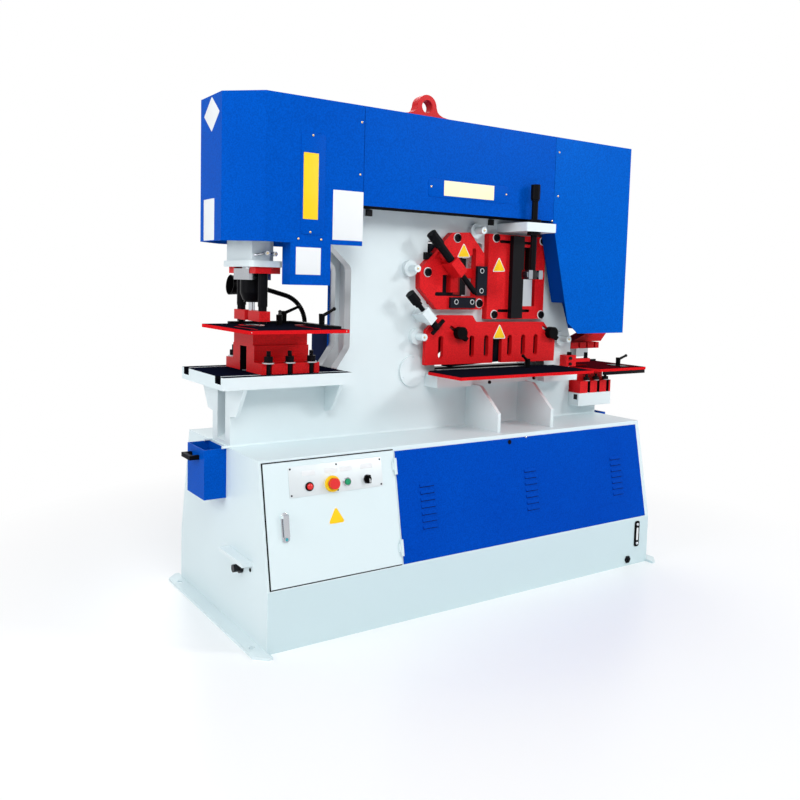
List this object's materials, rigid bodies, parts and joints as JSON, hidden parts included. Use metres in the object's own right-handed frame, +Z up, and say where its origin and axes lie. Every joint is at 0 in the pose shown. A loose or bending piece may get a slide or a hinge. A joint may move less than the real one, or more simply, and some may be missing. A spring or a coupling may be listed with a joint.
{
  "type": "hydraulic ironworker",
  "caption": "Hydraulic ironworker with punch, section, angle and flat shears and notcher on a sloping cabinet.",
  "frame": {"origin": "on the floor under the middle of the cabinet", "axes": "+X along the machine from the punch to the notcher, the operator's side faces -Y, +Z up"},
  "size_m": [2.28, 0.926, 2.0625],
  "materials": {
    "white_paint": "satin off-white paint",
    "blue_paint": "gloss blue paint",
    "red_paint": "hammered red paint",
    "black_steel": "black oxide",
    "blade_steel": "ground and blackened tool steel",
    "bright_steel": "ground steel",
    "hard_chrome": "polished",
    "black_plastic": "matt",
    "red_plastic": "gloss",
    "green_plastic": "gloss",
    "grey_paint": "satin"
  },
  "bodies": {
    "machine": {"base_cabinet": "white_paint", "louvre_panel": "blue_paint", "scrap_box": "blue_paint", "power_inlet": "white_paint", "power_pack": "grey_paint", "frame_front_plate": "white_paint", "frame_rear_plate": "white_paint", "frame_webs": "white_paint", "frame_brackets": "white_paint", "pivot_pin": "white_paint", "tie_studs": "white_paint", "punch_bed": "white_paint", "notcher_bed": "white_paint", "left_cover": "blue_paint", "middle_cover": "blue_paint", "right_cover": "blue_paint", "lifting_eye": "red_paint", "cylinder_barrels": "grey_paint", "ram_housing": "white_paint", "stripper_carrier": "red_paint", "stripper_posts": "black_steel", "stripper_bar": "red_paint", "die_bolster": "red_paint", "clamp_bolts": "black_steel", "punch_die": "bright_steel", "punch_table": "red_paint", "section_plate": "red_paint", "fixed_blades": "blade_steel", "angle_plate": "red_paint", "station_bolts": "black_steel", "shear_table": "red_paint", "notcher_die": "red_paint", "notcher_table": "red_paint", "notcher_guide": "red_paint", "work_lamp": "black_plastic"},
    "door": {"door": "white_paint"},
    "latch": {"latch_handle": "hard_chrome"},
    "stop_button": {"estop_button": "red_plastic"},
    "start_button": {"start_button": "green_plastic"},
    "selector": {"selector_knob": "black_plastic"},
    "ram": {"punch_ram": "hard_chrome", "punch_nut": "black_steel", "punch": "hard_chrome"},
    "beam": {"shear_beam": "red_paint", "notcher_holder": "red_paint", "moving_blades": "blade_steel"},
    "shear_rod": {"shear_rod": "hard_chrome"},
    "section_clamp": {"section_screw": "black_steel"},
    "angle_clamp": {"angle_screw": "black_steel", "angle_foot": "hard_chrome"},
    "flat_clamp": {"flat_screw": "black_steel"},
    "guard": {"flat_guard": "red_paint"},
    "knob_left": {"guard_knob_left": "black_plastic"},
    "knob_right": {"guard_knob_right": "black_plastic"},
    "fence": {"table_fence": "black_steel"},
    "fence_lever_right": {"fence_lever_right": "black_plastic"},
    "fence_lever_rear": {"fence_lever_rear": "black_plastic"},
    "table_lever": {"fence_lever_left": "black_plastic"},
    "shear_lever": {"shear_lever": "black_plastic"},
    "notch_lever": {"notch_lever": "black_plastic"}
  },
  "joints": [
    {"name": "door_hinge", "type": "hinge", "parent": "machine", "child": "door", "pos_m": [-0.4195, -0.38825, 0.43419], "axis": [0, 0.1961, 0.9806], "range_deg": [0, 110]},
    {"name": "latch_hinge", "type": "hinge", "parent": "door", "child": "latch", "pos_m": [-0.891, -0.38736, 0.46257], "axis": [-1, 0, 0], "range_deg": [0, 35]},
    {"name": "stop_press", "type": "slide", "parent": "door", "child": "stop_button", "axis": [0, 0.9806, -0.1961], "range_m": [0, 0.004]},
    {"name": "start_press", "type": "slide", "parent": "door", "child": "start_button", "axis": [0, 0.9806, -0.1961], "range_m": [0, 0.003], "stiffness_N_per_m": 400, "springref_m": -0.002},
    {"name": "selector_turn", "type": "hinge", "parent": "door", "child": "selector", "pos_m": [-0.546, -0.36579, 0.55004], "axis": [0, -0.9806, 0.1961], "range_deg": [-45, 45]},
    {"name": "ram_stroke", "type": "slide", "parent": "machine", "child": "ram", "axis": [0, 0, -1], "range_m": [0, 0.028]},
    {"name": "beam_swing", "type": "hinge", "parent": "machine", "child": "beam", "pos_m": [-0.153, 0.015, 0.905], "axis": [0, 1, 0], "range_deg": [0, 3]},
    {"name": "shear_rod_stroke", "type": "slide", "parent": "machine", "child": "shear_rod", "axis": [0, 0, -1], "range_m": [0, 0.0221]},
    {"name": "section_clamp_slide", "type": "slide", "parent": "machine", "child": "section_clamp", "axis": [-0.7071, 0, 0.7071], "range_m": [0, 0.07]},
    {"name": "angle_clamp_slide", "type": "slide", "parent": "machine", "child": "angle_clamp", "axis": [0, 0, 1], "range_m": [-0.06, 0.06]},
    {"name": "flat_clamp_slide", "type": "slide", "parent": "machine", "child": "flat_clamp", "axis": [0.7071, 0, -0.7071], "range_m": [0, 0.025]},
    {"name": "guard_slide", "type": "slide", "parent": "machine", "child": "guard", "axis": [0.8429, 0, -0.538], "range_m": [0, 0.035]},
    {"name": "knob_left_turn", "type": "hinge", "parent": "machine", "child": "knob_left", "pos_m": [0.048, -0.135, 1.065], "axis": [0, -1, 0], "range_deg": [-45, 45]},
    {"name": "knob_right_turn", "type": "hinge", "parent": "machine", "child": "knob_right", "pos_m": [0.582, -0.135, 1.06], "axis": [0, -1, 0], "range_deg": [-45, 45]},
    {"name": "fence_slide", "type": "slide", "parent": "machine", "child": "fence", "axis": [0, -1, 0], "range_m": [0, 0.05]},
    {"name": "fence_lever_right_turn", "type": "hinge", "parent": "fence", "child": "fence_lever_right", "pos_m": [-0.616, -0.121, 1.12], "axis": [0, 0, 1], "range_deg": [-45, 45]},
    {"name": "fence_lever_rear_turn", "type": "hinge", "parent": "fence", "child": "fence_lever_rear", "pos_m": [-0.654, 0.128, 1.12], "axis": [0, 0, 1], "range_deg": [-45, 45]},
    {"name": "table_lever_turn", "type": "hinge", "parent": "machine", "child": "table_lever", "pos_m": [-0.734, 0.006, 1.12], "axis": [0, 0, 1], "range_deg": [-45, 45]},
    {"name": "shear_lever_turn", "type": "hinge", "parent": "machine", "child": "shear_lever", "pos_m": [0.428, -0.15, 0.92], "axis": [0, 0, 1], "range_deg": [-20, 60]},
    {"name": "notch_lever_turn", "type": "hinge", "parent": "machine", "child": "notch_lever", "pos_m": [1.092, -0.095, 0.9], "axis": [0, 0, 1], "range_deg": [-45, 45]}
  ],
  "couplings": [
    {"joint": "shear_rod_stroke", "follows": "beam_swing", "m_per_rad": 0.42}
  ]
}
